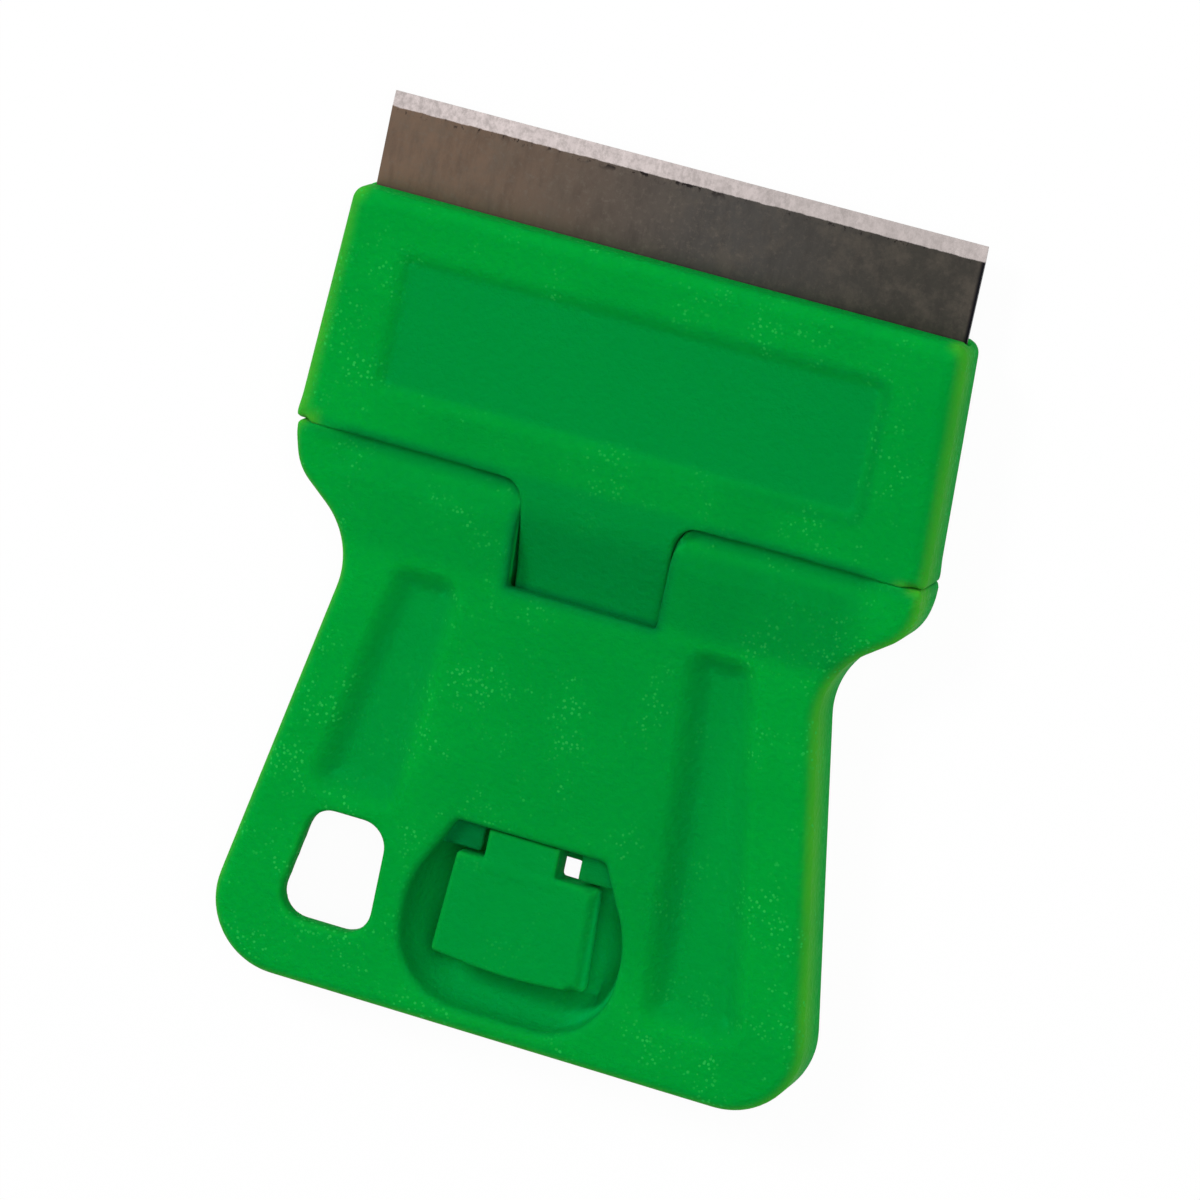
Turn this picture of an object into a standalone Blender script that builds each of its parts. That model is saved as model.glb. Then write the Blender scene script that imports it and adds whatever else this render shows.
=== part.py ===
"""Pocket glass scraper: a moulded handle with a pull-out blade holder and a single-edge blade.

Metres. The scraper lies on its back: X across, Y from the foot of the handle to the cutting edge,
Z up out of its front face. Stations are distances along Y from the foot of the handle.
"""
import math

import bmesh
import bpy
from mathutils import Matrix, Vector

# Whole scraper
THICKNESS = 0.0050               # front face to back face
RIM_ROUND = 0.0009               # rounding of the outer rims, front and back
SEAM_ROUND = 0.0003              # the rims are crisper where holder and handle meet
SEAM_GAP = 0.0003                # holder to handle
SLIDE_GAP = 0.00025              # round what slides in the handle
OVERRUN = 0.0010                 # cutters run this far past a face
LEAST_RADIUS = 0.00005           # a corner whose radius an inset has used up keeps this much
ARC_STEPS = 8                    # facets of a rounded corner
RIM_STEPS = 5                    # and of a rounded rim
DISH_STEPS = 7                   # and of a hollow's slope
SMOOTH_ANGLE = math.radians(28)

# Blade: a single-edge blade with a folded steel back
BLADE_WIDTH = 0.0381
BLADE_HEIGHT = 0.01905           # cutting edge to the back of the spine
BLADE_THICKNESS = 0.00023
BLADE_PLANE_SHARE = 0.46         # middle of the blade, as a share of the thickness
BLADE_EXPOSURE = 0.00585         # cutting edge past the holder
GRIND_HEIGHT = 0.0010            # ground bevel, on both faces
EDGE_THICKNESS = 0.00003
SPINE_END = 0.0003               # end of the blade to the end of its spine
SPINE_HEIGHT = 0.0050
SPINE_THICKNESS = 0.0011
CRIMP_GAP = 0.00004              # blade to the inside of its spine

# Blade holder
HOLDER_END_WALL = 0.00040        # beyond the slot's ends, at the top
HOLDER_FLARE = 0.00075           # each side, from the top to the seam
SPINE_ROOM = 0.00165             # back of the spine to the seam
HOLDER_CORNER = 0.0009
SLOT_GAP = 0.00016               # slot walls to blade and spine
BLADE_END_GAP = 0.00025          # slot ends to blade
PLAQUE_SIDE_MARGIN = 0.0041      # side of the holder, at its top, to the plaque
PLAQUE_MARGIN = 0.0033           # top of the holder to the top of the plaque
PLAQUE_FOOT_MARGIN = 0.0030      # seam to the plaque
PLAQUE_DEPTH = 0.00045
PLAQUE_DRAFT = 0.0003
PLAQUE_CORNER = 0.0008

# Tongue of the holder: a stiff root, then the springy catch that the thumb presses
TONGUE_SHARE = 0.2325            # width of the tongue, as a share of the holder's at the seam
TONGUE_THICKNESS = 0.00125
ROOT_THICKNESS = 0.0018          # where the root leaves the holder
ROOT_LEVEL = 0.0006              # the root stays level with the holder this far
ROOT_FILLET = 0.0013
ROOT_UNDER_BRIDGE = 0.0014       # length of the root that the bridge hides
ROOT_IN_HOLDER = 0.0008          # overlap that makes root and holder one moulding
NECK_SHARE = 0.442               # widths of neck and pad, as shares of the tongue's
PAD_TOP_SHARE = 0.98
PAD_FOOT_SHARE = 1.06
NECK_RISE = 0.0004               # bridge to where the neck rises to the pad's level
PAD_SHOULDER = 0.00205           # bridge to the pad's shoulders
PAD_LENGTH = 0.0066
PAD_SINK = 0.0007                # pad below the front face
PAD_ROUND = 0.0004
PAD_CORNER = 0.0003
PAD_BOW = 0.0005                 # the pad's foot bulges this far
PAD_BOW_RADIUS = 0.030

# Handle outline
HANDLE_LENGTH = 0.0345
SHOULDER_STEP = 0.00015          # side of the holder to the side of the shoulder
SHOULDER_DEPTH = 0.0026          # seam to the corner of the shoulder
SHOULDER_RADIUS = 0.0034
WAIST_INSET = 0.00505            # side of the shoulder to the sharp corner under the waist's curve
WAIST_DEPTH = 0.0064             # seam to that corner
WAIST_RADIUS = 0.0050
FOOT_FLARE = 0.0051              # that corner to the side of the foot
FOOT_RADIUS = 0.0047
SEAM_CORNER = 0.0005

# Shoulders fall away towards the seam
SHOULDER_DISH_DEPTH = 0.0008
SHOULDER_DISH_LENGTH = 0.0056
SHOULDER_DISH_RUN = 0.0048       # length of its slope along Y
SHOULDER_DISH_SIDE_RUN = 0.0026  # and across X
SHOULDER_RIM = 0.0014            # left level at the outer end
SHOULDER_DISH_CORNER = 0.0012

# Bridge over the tongue, and the thumb window below it
BRIDGE_THICKNESS = 0.0011
TONGUE_SEEN = 0.0064             # length of the tongue between seam and bridge
BRIDGE_FOOT = 0.0131             # station of its lower edge
TUNNEL_FLOOR = 0.0008            # back wall under the tongue
WINDOW_TOP_SHARE = 1.03          # widths of the window, as shares of the tongue's
WINDOW_SHARE = 1.515
WINDOW_FOOT_SHARE = 1.45
WINDOW_WIDEST = 0.00845          # station of its widest place
WINDOW_FOOT = 0.00145
WINDOW_SIDE_RUN = 0.0012
WINDOW_FOOT_RUN = 0.0025
WINDOW_SIDE_CORNER = 0.0068
WINDOW_FOOT_CORNER = 0.0046
LUG_GAP = 0.00135                # neck to lug
LUG_HEIGHT = 0.00045
LUG_SINK = 0.0010                # lug below the front face
LUG_SEAT = 0.0003                # pad's shoulders to the lugs
LUG_ROOT = 0.0004                # lug into its wall
CORE_WIDTH = 0.0055              # opening in the back behind the neck
CORE_LENGTH = 0.0034
CORE_BELOW_BRIDGE = 0.0003
CORE_CORNER = 0.0004

# Finger grooves
GROOVE_DEPTH = 0.0009
GROOVE_FOOT = 0.0043             # station of the right groove's lower end
GROOVE_RIM = 0.0034              # level rim between the groove and the handle's side
GROOVE_TO_TONGUE = 0.0026        # tongue to the groove at its upper end
GROOVE_TO_WINDOW = 0.0022        # window to the groove at its lower end
GROOVE_SIDE_SHARE = 0.41         # slopes and corners, as shares of the groove's least width
GROOVE_END_SHARE = 0.45
GROOVE_CORNER_SHARE = 0.39

# Hanging hole
HOLE_WEB = 0.0019                # hole to window
HOLE_LENGTH = 0.00725
HOLE_SIDE_MARGIN = 0.0043        # handle's side to the hole
HOLE_FOOT = 0.0041               # station of its lower edge
HOLE_CORNER_SHARE = 0.334        # corners, as a share of the hole's width at its top
HOLE_ROUND = 0.0003
HOLE_PLATE = 0.0013              # plate left round the hole; behind it the back is relieved
RELIEF_OUTER = 0.0015            # hole to the relief's wall, towards the handle's side and foot
RELIEF_INNER = 0.0005            # and towards the window and the groove
GROOVE_ABOVE_HOLE = 0.0012       # hole to the left groove's lower end

# Ribs on the handle that back the blade's spine
RIB_MARGIN = 0.00125             # rib to the tongue's space, and to the end of the spine
RIB_THICKNESS = 0.0009
RIB_ROOT = 0.0010                # rib into the handle

# Widths that follow from the blade
SPINE_WIDTH = BLADE_WIDTH - SPINE_END * 2
HOLDER_TOP_WIDTH = BLADE_WIDTH + (BLADE_END_GAP + HOLDER_END_WALL) * 2
HOLDER_SEAM_WIDTH = HOLDER_TOP_WIDTH + HOLDER_FLARE * 2
SHOULDER_WIDTH = HOLDER_SEAM_WIDTH - SHOULDER_STEP * 2
WAIST_WIDTH = SHOULDER_WIDTH - WAIST_INSET * 2
FOOT_WIDTH = WAIST_WIDTH + FOOT_FLARE * 2
PLAQUE_WIDTH = HOLDER_TOP_WIDTH - PLAQUE_SIDE_MARGIN * 2
TONGUE_WIDTH = HOLDER_SEAM_WIDTH * TONGUE_SHARE
NECK_WIDTH = TONGUE_WIDTH * NECK_SHARE
PAD_TOP_WIDTH = TONGUE_WIDTH * PAD_TOP_SHARE
PAD_FOOT_WIDTH = TONGUE_WIDTH * PAD_FOOT_SHARE
WINDOW_WIDTH = TONGUE_WIDTH * WINDOW_SHARE
TUNNEL_HALF = max(TONGUE_WIDTH, PAD_FOOT_WIDTH) / 2 + SLIDE_GAP

# Stations and heights that follow from the sizes above
HOLDER_LENGTH = BLADE_HEIGHT - BLADE_EXPOSURE + SPINE_ROOM
HOLDER_SEAM = HANDLE_LENGTH + SEAM_GAP
HOLDER_TOP = HOLDER_SEAM + HOLDER_LENGTH
EDGE = HOLDER_TOP + BLADE_EXPOSURE
SPINE_BACK = EDGE - BLADE_HEIGHT
SPINE_FRONT = SPINE_BACK + SPINE_HEIGHT
BLADE_PLANE = THICKNESS * BLADE_PLANE_SHARE
TONGUE_TOP = THICKNESS - BRIDGE_THICKNESS - SLIDE_GAP
TONGUE_UNDER = TONGUE_TOP - TONGUE_THICKNESS
BRIDGE_TOP = HANDLE_LENGTH - TONGUE_SEEN
ROOT_END = BRIDGE_TOP - ROOT_UNDER_BRIDGE
PAD_SHOULDERS = BRIDGE_FOOT - PAD_SHOULDER
PAD_FOOT = PAD_SHOULDERS - PAD_LENGTH
PAD_TOP = THICKNESS - PAD_SINK
WAIST_STATION = HANDLE_LENGTH - WAIST_DEPTH
SIDE_SLOPE = FOOT_FLARE / WAIST_STATION


def place(x, station):
    """A point of the plan, from its distance to the centre line and its station."""
    return Vector((x, station - EDGE / 2))


def meet(line_a, line_b):
    """Where two lines of the plan cross; a line is a point and a direction."""
    (point_a, along_a), (point_b, along_b) = line_a, line_b
    cross = along_a.x * along_b.y - along_a.y * along_b.x
    between = point_b - point_a
    return point_a + along_a * ((between.x * along_b.y - between.y * along_b.x) / cross)


def inset_corners(corners, insets):
    """Corners of an anticlockwise outline whose sides each move inwards by their own inset."""
    lines = []
    for index, corner in enumerate(corners):
        along = (corners[(index + 1) % len(corners)] - corner).normalized()
        inwards = Vector((-along.y, along.x))
        lines.append((corner + inwards * insets[index], along))
    return [meet(lines[index - 1], lines[index]) for index in range(len(corners))]


def inset_radii(corners, radii, insets):
    """Radii of the same corners: a convex one shrinks with the inset and a hollow one grows."""
    result = []
    for index, radius in enumerate(radii):
        into = corners[index] - corners[index - 1]
        out = corners[(index + 1) % len(corners)] - corners[index]
        turn = math.copysign(1, into.x * out.y - into.y * out.x)
        inset = (insets[index - 1] + insets[index]) / 2
        result.append(max(radius - turn * inset, LEAST_RADIUS) if radius else 0)
    return result


def rounded_outline(corners, radii, height, steps=ARC_STEPS):
    """Points at one height round an outline whose corners are arcs; radius 0 keeps one sharp point."""
    points = []
    for index, (corner, radius) in enumerate(zip(corners, radii)):
        if not radius:
            points.append(Vector((corner.x, corner.y, height)))
            continue
        back = (corners[index - 1] - corner).normalized()
        on = (corners[(index + 1) % len(corners)] - corner).normalized()
        half = back.angle(on) / 2
        centre = corner + (back + on).normalized() * (radius / math.sin(half))
        start = corner + back * (radius / math.tan(half)) - centre
        sweep = -start.angle_signed(corner + on * (radius / math.tan(half)) - centre)
        for step in range(steps + 1):
            spoke = centre + Matrix.Rotation(sweep * step / steps, 2) @ start
            points.append(Vector((spoke.x, spoke.y, height)))
    return points


def outline_at(corners, radii, insets, height):
    """One level of a loft: the outline with its sides moved inwards, at a height."""
    return rounded_outline(inset_corners(corners, insets), inset_radii(corners, radii, insets), height)


def loft(name, levels):
    """A closed solid through levels of points, lowest first, each anticlockwise from above."""
    shape = bmesh.new()
    rings = [[shape.verts.new(point) for point in level] for level in levels]
    count = len(rings[0])
    for lower, upper in zip(rings, rings[1:]):
        for index in range(count):
            after = (index + 1) % count
            shape.faces.new((lower[index], lower[after], upper[after], upper[index]))
    shape.faces.new(reversed(rings[0]))
    shape.faces.new(rings[-1])
    mesh = bpy.data.meshes.new(name)
    shape.to_mesh(mesh)
    shape.free()
    solid = bpy.data.objects.new(name, mesh)
    bpy.context.scene.collection.objects.link(solid)
    return solid


def plate(name, corners, radii, low, high, rounds):
    """A plate whose rims are rounded front and back, each side by its own radius."""
    rise = max(rounds)
    turns = [math.pi / 2 * step / RIM_STEPS for step in range(RIM_STEPS + 1)]
    below = [(low + rise * (1 - math.cos(turn)), 1 - math.sin(turn)) for turn in turns]
    above = [(high - rise * (1 - math.cos(turn)), 1 - math.sin(turn)) for turn in reversed(turns)]
    levels = [outline_at(corners, radii, [size * share for size in rounds], height)
              for height, share in below + above]
    return loft(name, levels)


def wave(share):
    """A slope that leaves the rim and joins the floor smoothly: how far in and how far down."""
    return share, (1 - math.cos(math.pi * share)) / 2


def bowl(share):
    """A slope that drops steeply from the rim and flattens into the floor."""
    turn = math.pi / 2 * share
    return 1 - math.cos(turn), math.sin(turn)


def dish(name, corners, radii, depth, runs, slope):
    """Cutter for a hollow in the front face; runs are the lengths of its slopes, side by side."""
    levels = []
    for step in range(DISH_STEPS, -1, -1):
        inwards, down = slope(step / DISH_STEPS)
        levels.append(outline_at(corners, radii, [run * inwards for run in runs], THICKNESS - depth * down))
    levels.append(outline_at(corners, radii, [0] * len(corners), THICKNESS + OVERRUN))
    return loft(name, levels)


def prism(name, corners, low, high, radii=None):
    """A straight prism on an outline of the plan."""
    radii = radii or [0] * len(corners)
    return loft(name, [rounded_outline(corners, radii, height) for height in (low, high)])


def block(name, left, right, foot, top, low, high):
    """A box between two distances from the centre line, two stations and two heights."""
    corners = [place(left, foot), place(right, foot), place(right, top), place(left, top)]
    return prism(name, corners, low, high)


def bar(name, profile, half_width):
    """A profile of stations and heights, clockwise as seen from +X, drawn out across the scraper."""
    shape = bmesh.new()
    ends = []
    for x in (-half_width, half_width):
        spots = [place(x, station) for station, height in profile]
        ends.append([shape.verts.new((spot.x, spot.y, height))
                     for spot, (station, height) in zip(spots, profile)])
    left, right = ends
    for index in range(len(profile)):
        after = (index + 1) % len(profile)
        shape.faces.new((left[index], left[after], right[after], right[index]))
    shape.faces.new(reversed(left))
    shape.faces.new(right)
    bmesh.ops.recalc_face_normals(shape, faces=shape.faces)
    mesh = bpy.data.meshes.new(name)
    shape.to_mesh(mesh)
    shape.free()
    solid = bpy.data.objects.new(name, mesh)
    bpy.context.scene.collection.objects.link(solid)
    return solid


def combine(solid, tool, operation):
    """Cut, join or intersect a solid with a helper shape, which is then only a wire guide."""
    modifier = solid.modifiers.new(tool.name, 'BOOLEAN')
    modifier.operation = operation
    modifier.solver = 'EXACT'
    modifier.object = tool
    tool.display_type = 'WIRE'
    tool.hide_render = True
    tool.parent = solid


def material(name, colour, roughness, metallic):
    """A plain finish for one piece."""
    finish = bpy.data.materials.new(name)
    finish.use_nodes = True
    shader = finish.node_tree.nodes["Principled BSDF"]
    shader.inputs["Base Color"].default_value = (*colour, 1)
    shader.inputs["Roughness"].default_value = roughness
    shader.inputs["Metallic"].default_value = metallic
    return finish


def mirrored(corners):
    """The same corners on the other side of the centre line, anticlockwise again."""
    return [Vector((-corner.x, corner.y)) for corner in reversed(corners)]


def side_at(station):
    """Distance from the centre line to the handle's flared side."""
    return FOOT_WIDTH / 2 - SIDE_SLOPE * station


def handle_body():
    """The handle's solid: shoulders, waist and a flared foot, with rounded rims."""
    right = [place(FOOT_WIDTH / 2, 0),
             place(WAIST_WIDTH / 2, WAIST_STATION),
             place(SHOULDER_WIDTH / 2, HANDLE_LENGTH - SHOULDER_DEPTH),
             place(SHOULDER_WIDTH / 2, HANDLE_LENGTH)]
    radii = [FOOT_RADIUS, WAIST_RADIUS, SHOULDER_RADIUS, SEAM_CORNER]
    sides = [RIM_ROUND] * 3 + [SEAM_ROUND] + [RIM_ROUND] * 4
    return plate("handle", right + mirrored(right), radii + radii[::-1], 0, THICKNESS, sides)


def shoulder_dish(side):
    """Cutter for the slope of one shoulder towards the seam, open to the tongue's slot."""
    inner = TONGUE_WIDTH / 2
    outer = SHOULDER_WIDTH / 2 - SHOULDER_RIM
    foot = HANDLE_LENGTH - SHOULDER_DISH_LENGTH
    past = HANDLE_LENGTH + OVERRUN
    corners = [place(inner, foot), place(outer, foot), place(outer, past), place(inner, past)]
    runs = [SHOULDER_DISH_RUN, SHOULDER_DISH_SIDE_RUN, 0, 0]
    radii = [0, SHOULDER_DISH_CORNER, 0, 0]
    if side < 0:
        corners = mirrored(corners)
        runs = [runs[2], runs[1], runs[0], runs[3]]
        radii = radii[::-1]
    return dish("shoulder_dish", corners, radii, SHOULDER_DISH_DEPTH, runs, wave)


def finger_groove(side):
    """Cutter for one finger groove; the left one stops short of the hanging hole."""
    foot = GROOVE_FOOT if side > 0 else HOLE_FOOT + HOLE_LENGTH + GROOVE_ABOVE_HOLE
    inner_top = TONGUE_WIDTH / 2 + GROOVE_TO_TONGUE
    inner_foot = WINDOW_WIDTH / 2 + GROOVE_TO_WINDOW
    lean = (inner_foot - inner_top) / (BRIDGE_TOP - GROOVE_FOOT)
    outer_top = side_at(BRIDGE_TOP) - GROOVE_RIM
    corners = [place(inner_top + lean * (BRIDGE_TOP - foot), foot),
               place(side_at(foot) - GROOVE_RIM, foot),
               place(outer_top, BRIDGE_TOP),
               place(inner_top, BRIDGE_TOP)]
    width = outer_top - inner_top
    runs = [width * GROOVE_END_SHARE] + [width * GROOVE_SIDE_SHARE] * 3
    if side < 0:
        corners = mirrored(corners)
        runs = [runs[2], runs[1], runs[0], runs[3]]
    return dish("finger_groove", corners, [width * GROOVE_CORNER_SHARE] * 4, GROOVE_DEPTH, runs, wave)


def thumb_window():
    """Cutter for the D-shaped thumb recess, steep at its sides and ramped at its foot."""
    right = [place(TONGUE_WIDTH * WINDOW_FOOT_SHARE / 2, WINDOW_FOOT),
             place(WINDOW_WIDTH / 2, WINDOW_WIDEST),
             place(TONGUE_WIDTH * WINDOW_TOP_SHARE / 2, BRIDGE_FOOT)]
    radii = [WINDOW_FOOT_CORNER, WINDOW_SIDE_CORNER, 0]
    runs = [WINDOW_SIDE_RUN, WINDOW_SIDE_RUN, 0, WINDOW_SIDE_RUN, WINDOW_SIDE_RUN, WINDOW_FOOT_RUN]
    return dish("thumb_window", right + mirrored(right), radii + radii[::-1],
                THICKNESS - TUNNEL_FLOOR, runs, bowl)


def tunnel():
    """Cutter for the space in which the tongue slides and bends, open at the seam."""
    return block("tunnel", -TUNNEL_HALF, TUNNEL_HALF, PAD_FOOT - PAD_BOW - SLIDE_GAP,
                 HANDLE_LENGTH + OVERRUN, TUNNEL_FLOOR, THICKNESS - BRIDGE_THICKNESS)


def root_plan(grow, foot, past):
    """Outline of the tongue's root with its fillets to the holder, grown all round by a gap."""
    half = TONGUE_WIDTH / 2
    flare = half + ROOT_FILLET * 3
    right = [place(half, foot), place(half, HOLDER_SEAM), place(flare, HOLDER_SEAM), place(flare, past)]
    corners = right + mirrored(right)
    radii = [0, ROOT_FILLET, 0, 0]
    radii = radii + radii[::-1]
    insets = [-grow] * len(corners)
    return inset_corners(corners, insets), inset_radii(corners, radii, insets)


def root_slot():
    """Cutter that opens the handle's front above the tongue's root."""
    corners, radii = root_plan(SLIDE_GAP, BRIDGE_TOP + SLIDE_GAP, HOLDER_SEAM + OVERRUN)
    return prism("root_slot", corners, TONGUE_UNDER, THICKNESS + OVERRUN, radii)


def hole_outline():
    """Outline of the hanging hole, whose outer side follows the handle's side."""
    top = HOLE_FOOT + HOLE_LENGTH
    outer_foot = HOLE_SIDE_MARGIN - side_at(HOLE_FOOT)
    outer_top = HOLE_SIDE_MARGIN - side_at(top)
    inner = -WINDOW_WIDTH / 2 - HOLE_WEB
    corners = [place(outer_foot, HOLE_FOOT), place(inner, HOLE_FOOT), place(inner, top), place(outer_top, top)]
    return corners, [(inner - outer_top) * HOLE_CORNER_SHARE] * 4


def hanging_hole():
    """Cutter for the hanging hole, with a rounded rim at the front."""
    corners, radii = hole_outline()
    levels = [outline_at(corners, radii, [0] * 4, THICKNESS - HOLE_PLATE - OVERRUN)]
    for step in range(RIM_STEPS, -1, -1):
        turn = math.pi / 2 * step / RIM_STEPS
        outset, rise = HOLE_ROUND * (1 - math.sin(turn)), HOLE_ROUND * (1 - math.cos(turn))
        levels.append(outline_at(corners, radii, [-outset] * 4, THICKNESS - rise))
    levels.append(outline_at(corners, radii, [-HOLE_ROUND] * 4, THICKNESS + OVERRUN))
    return loft("hanging_hole", levels)


def hole_relief():
    """Cutter that leaves only a thin plate round the hanging hole, open at the back."""
    corners, radii = hole_outline()
    insets = [-RELIEF_OUTER, -RELIEF_INNER, -RELIEF_INNER, -RELIEF_OUTER]
    levels = [outline_at(corners, radii, insets, height) for height in (-OVERRUN, THICKNESS - HOLE_PLATE)]
    return loft("hole_relief", levels)


def core_opening():
    """Cutter for the opening behind the neck, through the back wall."""
    top = BRIDGE_FOOT - CORE_BELOW_BRIDGE
    foot = top - CORE_LENGTH
    half = CORE_WIDTH / 2
    corners = [place(-half, foot), place(half, foot), place(half, top), place(-half, top)]
    return prism("core_opening", corners, -OVERRUN, TUNNEL_FLOOR + OVERRUN, [CORE_CORNER] * 4)


def catch_lug(side):
    """One of the two lugs that hold the pad's shoulders, between neck and tunnel wall."""
    inner = NECK_WIDTH / 2 + LUG_GAP
    outer = TUNNEL_HALF + LUG_ROOT
    top = THICKNESS - LUG_SINK
    left, right = sorted((side * inner, side * outer))
    return block("catch_lug", left, right, PAD_SHOULDERS + LUG_SEAT, BRIDGE_FOOT + LUG_ROOT,
                 top - LUG_HEIGHT, top)


def stop_rib(side):
    """A rib on the handle's upper edge that backs the blade's spine inside the holder."""
    inner = TUNNEL_HALF + RIB_MARGIN
    outer = SPINE_WIDTH / 2 - RIB_MARGIN
    left, right = sorted((side * inner, side * outer))
    return block("stop_rib", left, right, HANDLE_LENGTH - RIB_ROOT, SPINE_BACK - SEAM_GAP,
                 BLADE_PLANE - RIB_THICKNESS / 2, BLADE_PLANE + RIB_THICKNESS / 2)


def make_handle(plastic):
    """The handle: one moulding with its bridge, thumb window, lugs, grooves and hanging hole."""
    handle = handle_body()
    for side in (-1, 1):
        combine(handle, shoulder_dish(side), 'DIFFERENCE')
        combine(handle, finger_groove(side), 'DIFFERENCE')
    for cutter in (tunnel(), root_slot(), thumb_window(), hole_relief(), hanging_hole(), core_opening()):
        combine(handle, cutter, 'DIFFERENCE')
    for side in (-1, 1):
        combine(handle, catch_lug(side), 'UNION')
        combine(handle, stop_rib(side), 'UNION')
    handle.data.materials.append(plastic)
    return handle


def holder_body():
    """The holder's solid, a little wider at the seam, with rounded rims."""
    top, seam = HOLDER_TOP_WIDTH / 2, HOLDER_SEAM_WIDTH / 2
    right = [place(seam, HOLDER_SEAM), place(top, HOLDER_TOP)]
    radii = [SEAM_CORNER, HOLDER_CORNER]
    sides = [RIM_ROUND, RIM_ROUND, RIM_ROUND, SEAM_ROUND]
    return plate("blade_holder", right + mirrored(right), radii + radii[::-1], 0, THICKNESS, sides)


def root_top():
    """Upper line of the root: level at the holder, then an easy slope down under the bridge."""
    start = HOLDER_SEAM - ROOT_LEVEL
    drop = THICKNESS - TONGUE_TOP
    run = start - BRIDGE_TOP - SLIDE_GAP
    points = [(HOLDER_SEAM + ROOT_IN_HOLDER, THICKNESS)]
    for step in range(DISH_STEPS + 1):
        along, down = wave(step / DISH_STEPS)
        points.append((start - run * along, THICKNESS - drop * down))
    return points + [(ROOT_END, TONGUE_TOP)]


def tongue_root():
    """The stiff root of the tongue, part of the holder's moulding."""
    low_root = THICKNESS - ROOT_THICKNESS
    profile = root_top() + [(ROOT_END, TONGUE_UNDER), (BRIDGE_TOP, TONGUE_UNDER),
                            (HOLDER_SEAM, low_root), (HOLDER_SEAM + ROOT_IN_HOLDER, low_root)]
    root = bar("tongue_root", profile, TONGUE_WIDTH)
    corners, radii = root_plan(0, ROOT_END - OVERRUN, HOLDER_SEAM + ROOT_IN_HOLDER + OVERRUN)
    combine(root, prism("root_outline", corners, 0, THICKNESS + OVERRUN, radii), 'INTERSECT')
    return root


def blade_slot():
    """Cutter for the blade's slot and, behind a ledge, the wider pocket of its spine."""
    slot = BLADE_THICKNESS / 2 + SLOT_GAP
    pocket = SPINE_THICKNESS / 2 + SLOT_GAP
    ledge = SPINE_FRONT + SEAM_GAP
    back, front = HOLDER_SEAM - OVERRUN, HOLDER_TOP + OVERRUN
    profile = [(back, BLADE_PLANE + pocket), (ledge, BLADE_PLANE + pocket), (ledge, BLADE_PLANE + slot),
               (front, BLADE_PLANE + slot), (front, BLADE_PLANE - slot), (ledge, BLADE_PLANE - slot),
               (ledge, BLADE_PLANE - pocket), (back, BLADE_PLANE - pocket)]
    return bar("blade_slot", profile, BLADE_WIDTH / 2 + BLADE_END_GAP)


def plaque():
    """Cutter for the shallow recessed plaque on the holder's front."""
    top = HOLDER_TOP - PLAQUE_MARGIN
    foot = HOLDER_SEAM + PLAQUE_FOOT_MARGIN
    half = PLAQUE_WIDTH / 2
    corners = [place(-half, foot), place(half, foot), place(half, top), place(-half, top)]
    return dish("plaque", corners, [PLAQUE_CORNER] * 4, PLAQUE_DEPTH, [PLAQUE_DRAFT] * 4, bowl)


def make_holder(plastic):
    """The blade holder: slot, spine pocket, plaque and the tongue's root in one moulding."""
    holder = holder_body()
    combine(holder, tongue_root(), 'UNION')
    combine(holder, blade_slot(), 'DIFFERENCE')
    combine(holder, plaque(), 'DIFFERENCE')
    holder.data.materials.append(plastic)
    return holder


def make_latch(plastic):
    """The springy end of the tongue: a strip, a narrow neck and the thumb pad with its shoulders."""
    strip_foot = BRIDGE_FOOT + LUG_ROOT + LUG_SEAT
    half = TONGUE_WIDTH / 2
    latch = block("latch_tongue", -half, half, strip_foot, ROOT_END - SEAM_GAP, TONGUE_UNDER, TONGUE_TOP)
    neck_half = NECK_WIDTH / 2
    low_neck = block("neck", -neck_half, neck_half, PAD_SHOULDERS - PAD_ROUND * 2, strip_foot + PAD_ROUND,
                     TONGUE_UNDER, TONGUE_TOP)
    combine(latch, low_neck, 'UNION')
    high_neck = block("neck_rise", -neck_half, neck_half, PAD_SHOULDERS - PAD_ROUND * 2,
                      BRIDGE_FOOT - NECK_RISE, TONGUE_UNDER, PAD_TOP)
    combine(latch, high_neck, 'UNION')
    corners = [place(0, PAD_FOOT - PAD_BOW), place(PAD_FOOT_WIDTH / 2, PAD_FOOT),
               place(PAD_TOP_WIDTH / 2, PAD_SHOULDERS), place(-PAD_TOP_WIDTH / 2, PAD_SHOULDERS),
               place(-PAD_FOOT_WIDTH / 2, PAD_FOOT)]
    radii = [PAD_BOW_RADIUS] + [PAD_CORNER] * 4
    pad = plate("thumb_pad", corners, radii, TONGUE_UNDER, PAD_TOP, [PAD_ROUND] * 5)
    combine(latch, pad, 'UNION')
    latch.data.materials.append(plastic)
    return latch


def make_blade(steel):
    """The blade's steel strip, ground on both faces to its edge."""
    half, edge = BLADE_THICKNESS / 2, EDGE_THICKNESS / 2
    rear = SPINE_BACK + (SPINE_THICKNESS - BLADE_THICKNESS) / 2
    profile = [(rear, BLADE_PLANE + half), (EDGE - GRIND_HEIGHT, BLADE_PLANE + half),
               (EDGE, BLADE_PLANE + edge), (EDGE, BLADE_PLANE - edge),
               (EDGE - GRIND_HEIGHT, BLADE_PLANE - half), (rear, BLADE_PLANE - half)]
    blade = bar("blade", profile, BLADE_WIDTH / 2)
    blade.data.materials.append(steel)
    return blade


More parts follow.
